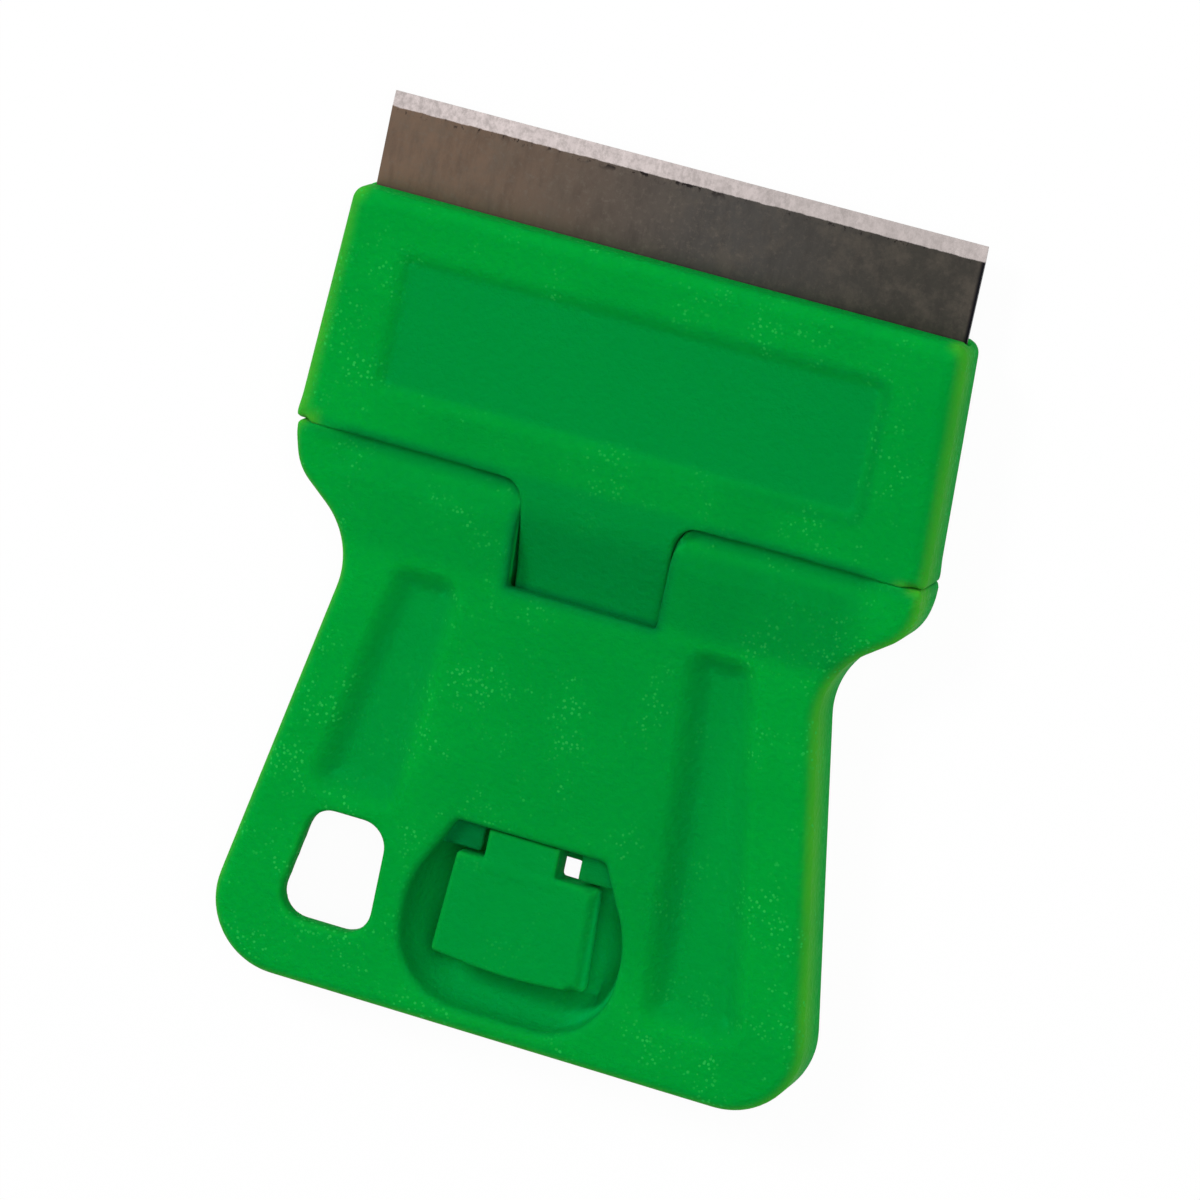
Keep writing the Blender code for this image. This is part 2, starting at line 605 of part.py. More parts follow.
def make_spine(steel):
    """The spine: a steel strip folded round the blade's back edge and crimped."""
    outer = SPINE_THICKNESS / 2
    inner = BLADE_THICKNESS / 2 + CRIMP_GAP
    bend = SPINE_BACK + outer
    turns = [math.pi * step / ARC_STEPS for step in range(ARC_STEPS + 1)]
    outside = [(bend - outer * math.sin(turn), BLADE_PLANE - outer * math.cos(turn)) for turn in turns]
    inside = [(bend - inner * math.sin(turn), BLADE_PLANE + inner * math.cos(turn)) for turn in turns]
    profile = [(SPINE_FRONT, BLADE_PLANE - outer), *outside, (SPINE_FRONT, BLADE_PLANE + outer),
               (SPINE_FRONT, BLADE_PLANE + inner), *inside, (SPINE_FRONT, BLADE_PLANE - inner)]
    spine = bar("blade_spine", profile, SPINE_WIDTH / 2)
    spine.data.materials.append(steel)
    return spine


def hang_on(piece, axis):
    """Put a piece under an empty on its joint's axis, without moving it."""
    piece.parent = axis
    piece.matrix_parent_inverse = Matrix.Translation(axis.matrix_basis.translation).inverted()


def axis_empty(name, station, height):
    """An empty on a joint's axis."""
    axis = bpy.data.objects.new(name, None)
    spot = place(0, station)
    axis.location = (spot.x, spot.y, height)
    bpy.context.scene.collection.objects.link(axis)
    return axis


def smooth_by_angle():
    """Node group that shades a piece smooth, except where its faces meet at a clear angle."""
    group = bpy.data.node_groups.new("smooth by angle", 'GeometryNodeTree')
    group.interface.new_socket("Geometry", in_out='INPUT', socket_type='NodeSocketGeometry')
    group.interface.new_socket("Geometry", in_out='OUTPUT', socket_type='NodeSocketGeometry')
    start = group.nodes.new('NodeGroupInput')
    finish = group.nodes.new('NodeGroupOutput')
    angle = group.nodes.new('GeometryNodeInputMeshEdgeAngle')
    flat = group.nodes.new('FunctionNodeCompare')
    flat.operation = 'LESS_THAN'
    flat.inputs["B"].default_value = SMOOTH_ANGLE
    faces = group.nodes.new('GeometryNodeSetShadeSmooth')
    edges = group.nodes.new('GeometryNodeSetShadeSmooth')
    edges.domain = 'EDGE'
    group.links.new(start.outputs[0], faces.inputs["Geometry"])
    group.links.new(faces.outputs[0], edges.inputs["Geometry"])
    group.links.new(angle.outputs["Unsigned Angle"], flat.inputs["A"])
    group.links.new(flat.outputs[0], edges.inputs["Shade Smooth"])
    group.links.new(edges.outputs[0], finish.inputs[0])
    return group


for old in list(bpy.data.objects):
    bpy.data.objects.remove(old)

green = material("green plastic", (0.003, 0.305, 0.032), 0.42, 0)
strip_steel = material("blade steel", (0.105, 0.09, 0.078), 0.33, 1)
spine_steel = material("spine steel", (0.34, 0.33, 0.31), 0.38, 1)

handle = make_handle(green)
holder = make_holder(green)
latch = make_latch(green)
blade = make_blade(strip_steel)
spine = make_spine(spine_steel)

slide_axis = axis_empty("holder_axis", HOLDER_SEAM, BLADE_PLANE)
flexure = axis_empty("latch_axis", ROOT_END, TONGUE_TOP - TONGUE_THICKNESS / 2)
for piece in (holder, blade, spine, flexure):
    hang_on(piece, slide_axis)
hang_on(latch, flexure)

smooth = smooth_by_angle()
for piece in (handle, holder, latch, blade, spine):
    piece.modifiers.new("smooth", 'NODES').node_group = smooth
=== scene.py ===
"""Pocket glass scraper with a pull-out blade holder, lying on a pale floor.

Sizes are in millimetres: x from the centre line, stations along the scraper from the foot of the
handle to the cutting edge, heights above the back face.
"""
import math

import bpy
import numpy as np
from mathutils import Matrix, Vector


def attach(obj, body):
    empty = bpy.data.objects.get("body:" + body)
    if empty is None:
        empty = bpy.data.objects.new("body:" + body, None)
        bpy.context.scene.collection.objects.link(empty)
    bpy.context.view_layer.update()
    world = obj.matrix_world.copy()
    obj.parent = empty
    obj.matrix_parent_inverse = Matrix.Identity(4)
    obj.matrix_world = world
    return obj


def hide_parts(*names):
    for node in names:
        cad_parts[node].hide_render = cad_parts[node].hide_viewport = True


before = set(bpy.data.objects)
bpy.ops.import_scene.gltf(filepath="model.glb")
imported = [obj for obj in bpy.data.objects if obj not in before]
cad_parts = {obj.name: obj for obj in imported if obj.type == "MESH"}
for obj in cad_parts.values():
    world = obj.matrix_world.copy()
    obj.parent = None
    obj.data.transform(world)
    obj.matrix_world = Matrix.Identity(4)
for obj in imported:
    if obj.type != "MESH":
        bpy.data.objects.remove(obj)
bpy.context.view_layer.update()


# Handle: one injection moulding in green polypropylene, with two finger grooves, a hanging hole, a
# D-shaped thumb window and a bridge over the holder's tongue. It is shaped here as a field of signed
# distances, because its mould was cut with round tools and left a small round on every edge.
MM = 0.001
LENGTH = 55.5
THICKNESS = 5.0
HANDLE_TOP = 34.70
HANDLE_SPACE = ((-21.2, -0.6, -0.4), (21.2, 37.2, 5.4))
HANDLE_CELL = (0.226, 0.226, 0.145)
FOOT_HALF = 20.35
WAIST = (15.25, 28.1)
OUTLINE = [(FOOT_HALF, 0), WAIST, (20.4, 31.9), (20.38, HANDLE_TOP), (-20.15, HANDLE_TOP),
           (-19.85, 31.9), (-15.13, WAIST[1]), (-FOOT_HALF, 0)]
OUTLINE_RADII = [4.7, 5.0, 3.2, 0.3, 0.3, 3.4, 5.0, 4.6]
DISH_DEPTH = 0.8
CLEAR_SIDE = 22
CLEAR_END = 40
CLEAR_HEIGHT = 9
TONGUE_HALF = 4.8
TONGUE_UNDER = 2.4
BRIDGE_TOP = 28.1
BRIDGE_FOOT = 13.1
GROOVE_DEPTH = 1.15
GROOVE_RADIUS = 1.75
GROOVES = [(-1, 11.95, 8.433, 7.1, 2.85), (1, 3.7, 8.79, 6.75, 3.4)]
TUNNEL_HALF = 5.28
TUNNEL_FOOT = 3.7
TUNNEL_FLOOR = 0.8
TUNNEL_ROOF = 3.9
SLOT_CORNER = 1.45
SLOT_FLARE_HALF = 8.8
WINDOW = [(6.88, 1.45), (7.19, 8.45), (4.89, BRIDGE_FOOT)]
WINDOW_RADII = [4.6, 6.8, 0.35]
BOWL_DEPTH = 4.2
HOLE_FOOT = 4.1
HOLE_TOP = 11.35
HOLE_INNER = 9.09
HOLE_WALL = 4.3
HOLE_RADIUS = 1.64
RELIEF_INNER = 8.59
RELIEF_WALL = 2.8
RELIEF_RADIUS = 2.6
RELIEF_HEIGHT = 3.7
CORE_OPENING = (2.75, 9.4, 11.6)
CORE_HEIGHT = 1.8
LUG_INNER = 3.2
LUG_UNDER = 3.55
LUG_TOP = 4.0
RIB_SPAN = (6.53, 17.5)
RIB_STATIONS = (33.5, 36.15)
RIB_HEIGHTS = (1.85, 2.75)


class Mould:
    """A block of space in cells, in which a moulding is shaped by distances, negative inside it."""

    def __init__(self, low, high, cell):
        axes = [np.arange(a, b + c, c) for a, b, c in zip(low, high, cell)]
        self.low, self.cell = np.array(low), np.array(cell)
        self.x, self.y, self.z = np.meshgrid(*axes, indexing='ij', sparse=True)

    def plan(self, corners, radii):
        """Distance in the plan to an outline with rounded corners."""
        nearest = np.full((self.x.size, self.y.size, 1), np.inf)
        inside = np.zeros(nearest.shape, bool)
        points = rounded(corners, radii)
        for (ax, ay), (bx, by) in zip(points, points[1:] + points[:1]):
            dx, dy = bx - ax, by - ay
            along = ((self.x - ax) * dx + (self.y - ay) * dy) / (dx * dx + dy * dy)
            along = np.clip(along, 0, 1)
            nearest = np.minimum(nearest, np.hypot(self.x - ax - along * dx, self.y - ay - along * dy))
            if ay != by:
                beside = self.x < ax + (self.y - ay) * dx / dy
                inside ^= ((ay > self.y) != (by > self.y)) & beside
        return np.where(inside, -nearest, nearest)

    def plate(self, plan, low, high, rim):
        """A plate on a plan, with rounded rims."""
        side = plan + rim
        face = abs(self.z - (low + high) / 2) - (high - low) / 2 + rim
        outside = np.hypot(np.maximum(side, 0), np.maximum(face, 0))
        return outside + np.minimum(np.maximum(side, face), 0) - rim

    def block(self, left, right, foot, top, low, high, rim=0.1):
        """A box with slightly rounded edges."""
        across = abs(self.x - (left + right) / 2) - (right - left) / 2
        along = abs(self.y - (foot + top) / 2) - (top - foot) / 2
        return self.plate(np.maximum(across, along), low, high, rim)

    def below(self, height):
        """Everything below a front surface, whose height is given over the plan."""
        across, along = np.gradient(height[:, :, 0], self.cell[0], self.cell[1])
        return (self.z - height) / np.sqrt(1 + across ** 2 + along ** 2)[:, :, None]

    def through(self, plan):
        """A plan carried through every height."""
        return plan + 0 * self.z


def rounded(corners, radii, steps=14):
    """Points round an outline whose corners are arcs; a radius of 0 keeps the corner."""
    points = []
    for index, radius in enumerate(radii):
        corner = Vector(corners[index])
        back = (Vector(corners[index - 1]) - corner).normalized()
        on = (Vector(corners[(index + 1) % len(corners)]) - corner).normalized()
        if not radius:
            points.append(tuple(corner))
            continue
        half = back.angle(on) / 2
        centre = corner + (back + on).normalized() * (radius / math.sin(half))
        start = corner + back * (radius / math.tan(half)) - centre
        sweep = -start.angle_signed(corner + on * (radius / math.tan(half)) - centre)
        points += [tuple(centre + Matrix.Rotation(sweep * step / steps, 2) @ start)
                   for step in range(steps + 1)]
    return points


def mirrored(corners):
    """Corners on the other side of the centre line, in the order that closes the outline."""
    return [(-x, station) for x, station in reversed(corners)]


def box(half, foot, top):
    """Corners of a rectangle on the centre line."""
    return [(-half, foot), (half, foot), (half, top), (-half, top)]


def join(one, other, fillet):
    """Union of two shapes, with a fillet where they meet."""
    near = np.maximum(fillet - abs(one - other), 0) / fillet
    return np.minimum(one, other) - near * near * fillet / 4


def cut(solid, tool, fillet):
    """What a tool leaves of a solid, with its new edges rounded."""
    return -join(-solid, tool, fillet)


def fade(value, start, end):
    """0 before start and 1 after end, with a soft step between them."""
    share = np.clip((value - start) / (end - start), 0, 1)
    return share * share * (3 - 2 * share)


def band(value, rise, full, ease, gone):
    """1 from full to ease, 0 before rise and after gone, with soft steps between them."""
    return fade(value, rise, full) * (1 - fade(value, ease, gone))


def sample(field, points):
    """Values of a field at points given in cells, from the eight corners round each of them."""
    low = points.astype(int)
    part = points - low
    value = 0
    for corner in np.ndindex(2, 2, 2):
        weight = np.prod(np.where(corner, part, 1 - part), axis=1)
        value = value + weight * field[tuple((low + corner).T)]
    return value


def crossings(field):
    """For each axis: the axes with it first, where the surface crosses it, how far on, which way."""
    for axis in range(3):
        order = (axis, (axis + 1) % 3, (axis + 2) % 3)
        turned = field.transpose(order)
        here, there = turned[:-1], turned[1:]
        crossing = (here < 0) != (there < 0)
        share = np.where(crossing, here / np.where(crossing, here - there, 1), 0)
        yield order, crossing, share, here < 0


def middles(cells, edges):
    """The cells that the surface passes, and in each the mean of the crossings on its edges."""
    total, count = np.zeros(cells + (3,)), np.zeros(cells)
    for order, crossing, share, _ in edges:
        sums, counts = total.transpose(order + (3,)), count.transpose(order)
        for across, up in np.ndindex(2, 2):
            window = (slice(None), slice(across, cells[order[1]] + across),
                      slice(up, cells[order[2]] + up))
            met = crossing[window]
            sums[..., order[0]] += share[window]
            sums[..., order[1]] += met * across
            sums[..., order[2]] += met * up
            counts += met
    found = np.argwhere(count > 0)
    spots = tuple(found.T)
    return found, found + total[spots] / count[spots][:, None]


def settled(mould, field, found, points):
    """The points after three steps down the slope onto the surface, each held in its own cell."""
    slopes = np.gradient(field, *mould.cell)
    for _ in range(3):
        slope = np.stack([sample(part, points) for part in slopes], axis=1)
        step = sample(field, points) / np.maximum((slope ** 2).sum(axis=1), 0.1)
        points = np.clip(points - step[:, None] * slope / mould.cell, found, found + 0.999)
    return points


def quads_round(cells, edges, found):
    """A quad round each crossing, through the points of its four cells, with its face outwards."""
    number = np.full(cells, -1)
    number[tuple(found.T)] = np.arange(len(found))
    quads = []
    for order, crossing, _, outwards in edges:
        numbers = number.transpose(order)
        met, out = crossing[:, 1:-1, 1:-1], outwards[:, 1:-1, 1:-1]
        ring = [numbers[:, :-1, :-1][met], numbers[:, 1:, :-1][met],
                numbers[:, 1:, 1:][met], numbers[:, :-1, 1:][met]]
        ring = np.stack(ring, axis=1)
        quads.append(np.where(out[met][:, None], ring, ring[:, ::-1]))
    return np.concatenate(quads)


def edge_share(mould, field, reach=0.5):
    """How far the space round each cell stands clear of the solid: high on rims, low in hollows."""
    soft = np.clip(field, -reach, reach)
    for axis in range(3):
        for _ in range(max(1, round((reach / mould.cell[axis]) ** 2))):
            padded = np.concatenate([soft.take([0], axis), soft, soft.take([-1], axis)], axis)
            size = soft.shape[axis]
            soft = sum(padded.take(range(shift, shift + size), axis) for shift in (0, 1, 1, 2)) / 4
    return soft / reach


def placed(name, data):
    """An object at the origin, in the scene."""
    made = bpy.data.objects.new(name, data)
    bpy.context.scene.collection.objects.link(made)
    return made


def skin(name, mould, field, **shares):
    """A piece whose surface is where the field is zero, with its material's shares as attributes."""
    cells = tuple(count - 1 for count in field.shape)
    edges = list(crossings(field))
    found, points = middles(cells, edges)
    points = settled(mould, field, found, points)
    mesh = bpy.data.meshes.new(name)
    places = points * mould.cell + mould.low - (0, LENGTH / 2, 0)
    mesh.from_pydata((places * MM).tolist(), [], quads_round(cells, edges, found).tolist())
    mesh.shade_smooth()
    for label, share in (("edge", edge_share(mould, field)), *shares.items()):
        values = mesh.attributes.new(label, 'FLOAT', 'POINT')
        values.data.foreach_set("value", sample(share + 0 * field, points).astype(np.float32))
    return placed(name, mesh)


def side_at(station):
    """Distance from the centre line to the handle's flared side."""
    return FOOT_HALF - (FOOT_HALF - WAIST[0]) / WAIST[1] * station


def beside_wall(wall, inner, foot, top):
    """Corners of an opening on the left, between a wall along the flared side and an inner edge."""
    return [(wall - side_at(HOLE_FOOT), foot), (-inner, foot), (-inner, top),
            (wall - side_at(HOLE_TOP), top)]


# The body's front rim is sharper at the seam, and a shallow dish sinks its front end.
mould = Mould(*HANDLE_SPACE, HANDLE_CELL)
body = mould.plan(OUTLINE, OUTLINE_RADII)
aside = abs(mould.x)
ends = fade(aside, 16.5, 18.6) - 1.8 * fade(aside, 19.0, 19.8)
rim = 1.0 - fade(mould.y, 32.8, HANDLE_TOP - 0.7) * (0.65 + 0.28 * ends)
handle = mould.plate(body, 0, THICKNESS, rim)
dish = fade(mould.y, 32.0, 34.1) * (1 - fade(aside, 16.3, 18.9))
handle = np.maximum(handle, mould.below(THICKNESS - DISH_DEPTH * dish))
polish = 0.2 * dish

# The left groove is shorter, to make room for the hanging hole. Their polish darkens them, partly as
# painted shade, the left one more.
for side, foot, inner_foot, inner_top, wall in GROOVES:
    corners = [(inner_foot, foot), (side_at(foot) - wall, foot), (side_at(BRIDGE_TOP) - wall, BRIDGE_TOP),
               (inner_top, BRIDGE_TOP)]
    groove = mould.plan(corners if side > 0 else mirrored(corners), [GROOVE_RADIUS] * 4)
    handle = np.maximum(handle, mould.below(THICKNESS - GROOVE_DEPTH * fade(-groove, 0, 2.1)))
    polish = np.maximum(polish, (0.65 - 0.1 * side) * fade(-groove, 0.2, 1.6))

# The tongue's tunnel runs under the bridge, and in front of the bridge it is open as a slot.
tunnel = mould.block(-TUNNEL_HALF, TUNNEL_HALF, TUNNEL_FOOT, CLEAR_END, TUNNEL_FLOOR, TUNNEL_ROOF)
handle = cut(handle, tunnel, 0.15)
corners = [(TONGUE_HALF + 0.07, BRIDGE_TOP), (TONGUE_HALF + 0.02, HANDLE_TOP),
           (CLEAR_SIDE, HANDLE_TOP), (CLEAR_SIDE, CLEAR_END), (-CLEAR_SIDE, CLEAR_END),
           (-CLEAR_SIDE, HANDLE_TOP), (-TONGUE_HALF - 0.42, HANDLE_TOP),
           (-TONGUE_HALF - 0.07, BRIDGE_TOP)]
slot = mould.plan(corners, [0.1, SLOT_CORNER, 0, 0, 0, 0, SLOT_CORNER, 0.1])
upper = mould.plate(slot, TONGUE_UNDER, CLEAR_HEIGHT, 0.05)
handle = cut(handle, np.maximum(upper, aside - SLOT_FLARE_HALF), 0.25)

# The window's wall is a bowl, which runs out gently at its foot and is steep at its sides.
window = mould.plan(WINDOW + mirrored(WINDOW), WINDOW_RADII + WINDOW_RADII[::-1])
down = np.clip((THICKNESS - mould.z) / BOWL_DEPTH, 0, 1)
run = 2.5 - 1.3 * fade(mould.y, 2.6, 7.0)
bowl = window + run * (1 - np.sqrt(1 - down * down))
handle = cut(handle, np.maximum(bowl, TUNNEL_FLOOR - mould.z), 0.6)

# The hanging hole has a wider relief behind it, and the core opening lies behind the latch.
hole = mould.plan(beside_wall(HOLE_WALL, HOLE_INNER, HOLE_FOOT, HOLE_TOP), [HOLE_RADIUS] * 4)
handle = cut(handle, mould.through(hole), 0.45)
corners = beside_wall(RELIEF_WALL, RELIEF_INNER, HOLE_FOOT - 1.5, HOLE_TOP + 0.5)
relief = mould.plan(corners, [RELIEF_RADIUS] * 4)
handle = cut(handle, np.maximum(relief, mould.z - RELIEF_HEIGHT), 0.2)
opening = mould.plan(box(*CORE_OPENING), [0.6] * 4)
handle = cut(handle, np.maximum(opening, mould.z - CORE_HEIGHT), 0.2)

# Painted shading, which darkens above 0 and pales below it: a soft painted shadow along the seam and two
# faint panels painted dark, more on the right, and painted light on the walls beside the tongue and in the
# window, standing in for the light that comes through them.
wide = 0.35 + 1.15 * fade(aside, 4.8, 7.0)
shade = (1 - fade(slot, 0.1, wide)) * (0.75 - 0.25 * fade(aside, 5, 10)) * (1 - fade(aside, 16.0, 18.2))
shade = shade * (1 - 0.45 * fade(mould.y, HANDLE_TOP - 0.5, HANDLE_TOP - 0.1) * fade(aside, 7, 9))
lean = np.clip(mould.x / 9, -1, 1)
reach = 6.5 + 3.2 * fade(mould.x, 0, 4)
panel = band(mould.y, 5, 12, 27, 28.5) * (1 - fade(aside, reach, reach + 1.9))
shade = np.maximum(shade, panel * (0.16 + 0.10 * lean))
panel = band(mould.y, 27.5, 29, 32.6, 34) * (1 - fade(aside, 15.5, 18.5))
shade = np.maximum(shade, panel * (0.30 + 0.12 * lean)) * fade(mould.z, 3.4, 4.1)
wall = (1 - fade(abs(aside - 5.05), 0.25, 0.5)) * (1 - fade(mould.z, 4.4, 4.8)) * fade(mould.y, 28.3, 28.7)
shade = shade * (1 - wall) - 0.3 * wall
deep = fade(THICKNESS - mould.z, 0.5, 2.0) * fade(-window, -0.2, 0.3)
shade = shade - deep * (0.16 + 0.28 * fade(mould.x, 3.3, 5.3))
polish = np.maximum(polish, 0.8 * fade(-window, -0.7, 0.2))
polish = np.maximum(polish, 0.8 * (1 - fade(slot, 0.1, 0.9)))

# The lugs stop the latch in the window's upper corners, and the ribs back the blade's spine.
for side in (-1, 1):
    left, right = sorted((side * LUG_INNER, side * (TUNNEL_HALF + 0.4)))
    lug = mould.block(left, right, HOLE_TOP, BRIDGE_FOOT + 0.4, LUG_UNDER, LUG_TOP)
    handle = join(handle, lug, 0.1)
    # The lugs are painted in shade, the left one darker.
    near = 1 - fade(lug, 0, 0.2)
    shade = shade * (1 - near) + (0.75 - 0.25 * side) * near
    left, right = sorted(side * edge for edge in RIB_SPAN)
    handle = join(handle, mould.block(left, right, *RIB_STATIONS, *RIB_HEIGHTS), 0.1)

# Thin: painted light on the outer rims, for the light that comes through them, apart from the seam.
thin = fade(body, -0.5, 0) * (1 - fade(mould.y, 33.0, 34.3) * (1 - fade(aside, 19.2, 19.8)))
handle_shell = skin("handle_shell", mould, np.maximum(handle, mould.z - THICKNESS),
                    polish=polish, shade=shade, thin=thin * fade(mould.z, 1.2, 4.2))


class Reading:
    """A value of a material's node tree, on which sums and products add its Math nodes."""

    def __init__(self, finish, socket):
        self.finish, self.socket = finish, socket

    def math(self, operation, *values):
        return self.finish.add('ShaderNodeMath', {"operation": operation}, dict(enumerate(values)))

    def __add__(self, other):
        return self.math('ADD', self, other)

    __radd__ = __add__

    def __sub__(self, other):
        return self.math('SUBTRACT', self, other)

    def __rsub__(self, other):
        return self.math('SUBTRACT', other, self)

    def __mul__(self, other):
        return self.math('MULTIPLY', self, other)

    __rmul__ = __mul__

    def step(self, start, end):
        """0 before start and 1 after end, with a soft step between them."""
        places = {"Value": self, "From Min": start, "From Max": end}
        return self.finish.add('ShaderNodeMapRange', {"interpolation_type": 'SMOOTHSTEP'}, places)


class Finish:
    """A material, whose nodes are added one by one."""

    def __init__(self, name, **constants):
        self.material = bpy.data.materials.new(name)
        self.material.use_nodes = True
        self.tree = self.material.node_tree
        self.shader = self.tree.nodes["Principled BSDF"]
        self.feed(**constants)

    def add(self, kind, settings, values, output=0):
        """A node with its settings, then its sockets by name or number; gives one output."""
        made = self.tree.nodes.new(kind)
        for setting, value in settings.items():
            setattr(made, setting, value)
        for key, value in values.items():
            self.set(made.inputs[key], value)
        return Reading(self, made.outputs[output])

    def set(self, socket, value):
        if isinstance(value, Reading):
            self.tree.links.new(value.socket, socket)
        else:
            socket.default_value = value

    def feed(self, **values):
        """Set or link the shader's sockets, with _ for each space in their names."""
        for label, value in values.items():
            self.set(self.shader.inputs[label.replace("_", " ")], value)

    def dress(self, piece):
        """Give the finish to a piece."""
        piece.data.materials.clear()
        piece.data.materials.append(self.material)

    def share(self, label):
        """A share that the piece's mesh holds as an attribute."""
        return self.add('ShaderNodeAttribute', {"attribute_name": label}, {}, "Fac")

    def place(self, scale=(1, 1, 1)):
        """Object coordinates in millimetres, stretched by a scale."""
        where = self.add('ShaderNodeTexCoord', {}, {}, "Object")
        return self.add('ShaderNodeVectorMath', {"operation": 'MULTIPLY'},
                        {0: where, 1: [share / MM for share in scale]})

    def noise(self, scale, detail=2, roughness=0.5, stretch=(1, 1, 1)):
        """Soft noise with a number of swings in each millimetre."""
        return self.add('ShaderNodeTexNoise', {}, {"Vector": self.place(stretch), "Scale": scale,
                                                   "Detail": detail, "Roughness": roughness})

    def mix(self, share, one, other):
        """Two colours mixed."""
        colours = {0: share, 6: one, 7: other}
        return self.add('ShaderNodeMix', {"data_type": 'RGBA'}, colours, 2)

    def grain(self, height, depth, strength=1, under=None):
        """A bump of a depth in millimetres, on top of another one."""
        values = {"Height": height, "Distance": depth * MM, "Strength": strength}
        if under:
            values["Normal"] = under
        return self.add('ShaderNodeBump', {}, values)


GREEN = (0.0005, 0.306, 0.032, 1)
CLOUD_GREEN = (0.0008, 0.334, 0.034, 1)
POLISHED_GREEN = (0.0004, 0.260, 0.040, 1)
PIT_GREEN = (0.0004, 0.240, 0.036, 1)
HOLLOW_PAINTED_LIGHT_GREEN = (0.0004, 0.580, 0.125, 1)
PAINTED_LIGHT_GREEN = (0.0004, 0.600, 0.120, 1)
RIM_HIGHLIGHT_GREEN = (0.040, 0.390, 0.020, 1)
THIN_RIM_LIGHT_GREEN = (0.062, 0.395, 0.015, 1)
GLINT_GREEN = (0.025, 0.480, 0.080, 1)
PAINTED_SHADE_GREEN = (0.0002, 0.100, 0.028, 1)


def green_plastic(name):
    """Green polypropylene: spark-eroded grain outside and polished hollows, painted pale where light gets
    through, with painted highlights, glints and shade.
    """
    finish = Finish(name, IOR=1.49, Specular_IOR_Level=0.01, Specular_Tint=(0.02, 1.0, 0.35, 1),
                    Subsurface_Weight=0.6, Subsurface_Scale=0.0006, Subsurface_Radius=(0.1, 1.0, 0.4))
    edge, polish, shade, thin = [finish.share(label) for label in ("edge", "polish", "shade", "thin")]
    cloud = finish.noise(0.16, 3)
    pits = finish.noise(2.2, 3, 0.6)
    grit = finish.noise(2.9, 3, 0.7)
    patch = finish.noise(0.30, 4, 0.65)
    dots = finish.add('ShaderNodeTexVoronoi', {}, {"Vector": finish.place(), "Scale": 3.1}, "Distance")
    coarse = 1 - polish
    colour = finish.mix(cloud.step(0.3, 0.7), GREEN, CLOUD_GREEN)
    colour = finish.mix(polish * 0.9, colour, POLISHED_GREEN)
    colour = finish.mix(pits.step(0.35, 0.7) * 0.25, colour, PIT_GREEN)
    # Painted light: the hollows, and every place whose shading is below 0, are painted pale.
    colour = finish.mix(edge.step(-0.1, -0.45), colour, HOLLOW_PAINTED_LIGHT_GREEN)
    colour = finish.mix(0 - shade, colour, PAINTED_LIGHT_GREEN)
    # Painted highlights on the rims, and painted light through the thin outer rims.
    colour = finish.mix(edge.step(0.1, 0.5) * coarse * 0.4, colour, RIM_HIGHLIGHT_GREEN)
    colour = finish.mix(thin * (0.3 + cloud * 0.8), colour, THIN_RIM_LIGHT_GREEN)
    # Painted glints: small bright specks where the grain catches the light.
    glint_speck = (dots + grit * 0.5).step(0.62, 0.42) * patch.step(0.49, 0.64) * coarse
    colour = finish.mix(glint_speck * 0.7, colour, GLINT_GREEN)
    # Painted shade comes last.
    colour = finish.mix(shade * 0.85, colour, PAINTED_SHADE_GREEN)
    bump = finish.grain(pits, 0.11, 0.8)
    bump = finish.grain(grit, 0.04, 0.25 + coarse * 0.6, bump)
    finish.feed(Base_Color=colour, Roughness=0.40 + pits * 0.2, Normal=bump)
    return finish


plastic = green_plastic("green plastic")
plastic.dress(handle_shell)
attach(handle_shell, "handle")
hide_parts("handle")


# Blade holder: a second moulding in the same plastic, with a slot for the blade through its top, a
# pocket for the blade's spine behind it, a shallow bare plaque on its front, and the stiff root of
# its tongue, which slopes down under the handle's bridge.
SEAM = 34.72
SEAM_HALF = 20.44
HOLDER_TOP = 49.65
HOLDER_TOP_HALF = 19.7
HOLDER_RADII = [0.3, 0.9, 0.9, 0.3]
HOLDER_SPACE = ((-21.2, 26.1, -0.4), (21.2, 50.4, 5.4))
HOLDER_CELL = (0.188, 0.188, 0.13)
PLAQUE_HALF = 15.6
PLAQUE_FOOT = 37.8
PLAQUE_TOP = 46.35
PLAQUE_DEPTH = 0.42
BLADE_PLANE = 2.3
BLADE_GAP = 0.275
SPINE_GAP = 0.71
SPINE_LEDGE = 41.75
SLOT_HALF = 19.3
ROOT_END = 26.7
ROOT_CORNER = 1.55
FLARE_HALF = 8.65
FLARE_TOP = 35.6
TONGUE_TOP = 3.65

mould = Mould(*HOLDER_SPACE, HOLDER_CELL)
half = [(SEAM_HALF, SEAM), (HOLDER_TOP_HALF, HOLDER_TOP)]
plan = mould.plan(half + mirrored(half), HOLDER_RADII)
aside = abs(mould.x)
ends = fade(aside, 16.5, 18.6) - 5.5 * fade(aside, 19.0, 19.8)
near = 1 - fade(mould.y, SEAM + 0.4, SEAM + 1.6)
rim = 0.9 - near * (0.65 + 0.18 * ends) + 0.4 * fade(aside, 17.5, 19.0) * (1 - near)
holder = mould.plate(plan, 0, THICKNESS, rim)
plaque = mould.plan(box(PLAQUE_HALF, PLAQUE_FOOT, PLAQUE_TOP), [0.8] * 4)
sloped = plaque + (THICKNESS - mould.z) * 1.2
holder = cut(holder, np.maximum(sloped, THICKNESS - PLAQUE_DEPTH - mould.z), 0.5)

# The blade's slot is narrow at the edge side and wide behind the ledge, where its spine lies.
slot = mould.plan(box(SLOT_HALF, 33, 51), [0] * 4)
narrow = np.maximum(slot, abs(mould.z - BLADE_PLANE) - BLADE_GAP)
wide = np.maximum(np.maximum(slot, mould.y - SPINE_LEDGE), abs(mould.z - BLADE_PLANE) - SPINE_GAP)
holder = cut(holder, np.minimum(narrow, wide), 0.15)

